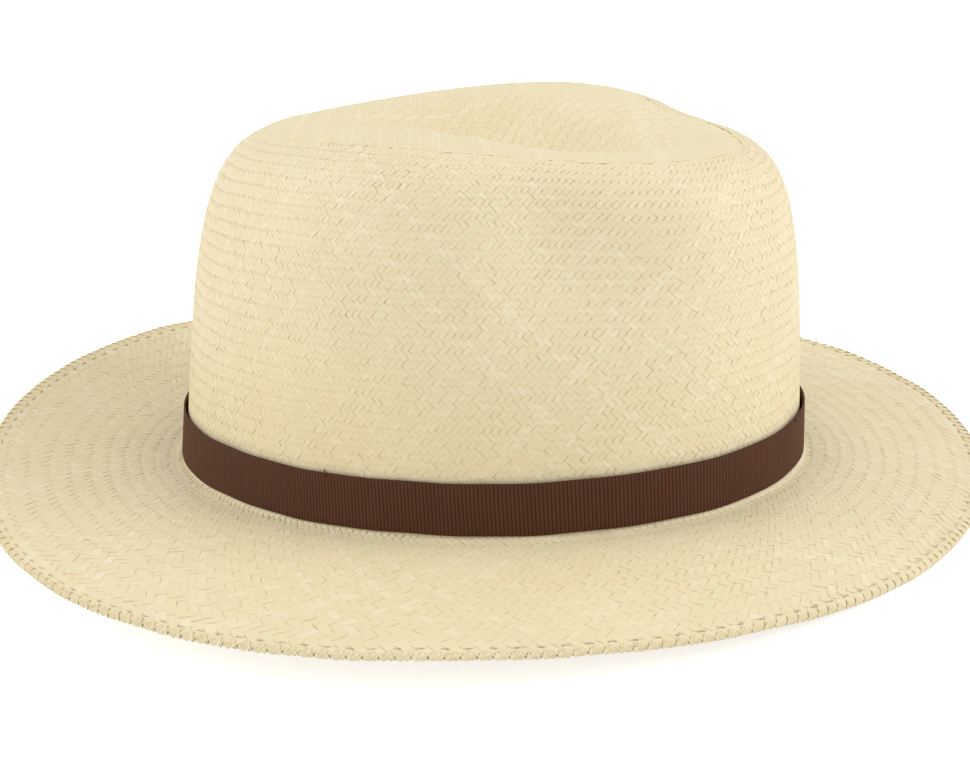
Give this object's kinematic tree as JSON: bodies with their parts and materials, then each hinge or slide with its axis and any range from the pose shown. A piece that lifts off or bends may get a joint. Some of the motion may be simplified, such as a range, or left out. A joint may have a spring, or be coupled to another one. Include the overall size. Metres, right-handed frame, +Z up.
{
  "type": "panama hat",
  "caption": "Cream plaited straw hat with a teardrop-dented crown, front pinches, a curved brim with a turned hem and a brown ribbed ribbon band.",
  "frame": {"origin": "centre of the head opening, level with the line where the crown's outer face meets the top of the brim", "axes": "+Z up, towards the top of the crown; the wearer faces -Y; +X is the wearer's left"},
  "size_m": [0.317, 0.3118, 0.1204],
  "materials": {
    "straw": "plaited natural straw, satin",
    "straw_thread": "cotton thread",
    "brown_ribbon": "ribbed grosgrain, matt",
    "brown_thread": "cotton thread",
    "sweatband_cloth": "woven cotton band",
    "reed_plastic": "extruded plastic, satin",
    "tape_cloth": "thin woven tape",
    "sweatband_thread": "cotton thread",
    "label_satin": "satin tape"
  },
  "bodies": {
    "root": {"straw_body": "straw", "brim_hem": "straw", "hem_stitches": "straw_thread", "hatband_ribbon": "brown_ribbon", "bow_tails": "brown_ribbon", "bow_loops": "brown_ribbon", "bow_keeper": "brown_ribbon", "band_tacks": "brown_thread", "sweatband": "sweatband_cloth", "sweatband_reed": "reed_plastic", "reed_tape": "tape_cloth", "sweatband_stitches": "sweatband_thread", "back_seam_tape": "tape_cloth", "size_label": "label_satin"}
  },
  "joints": []
}
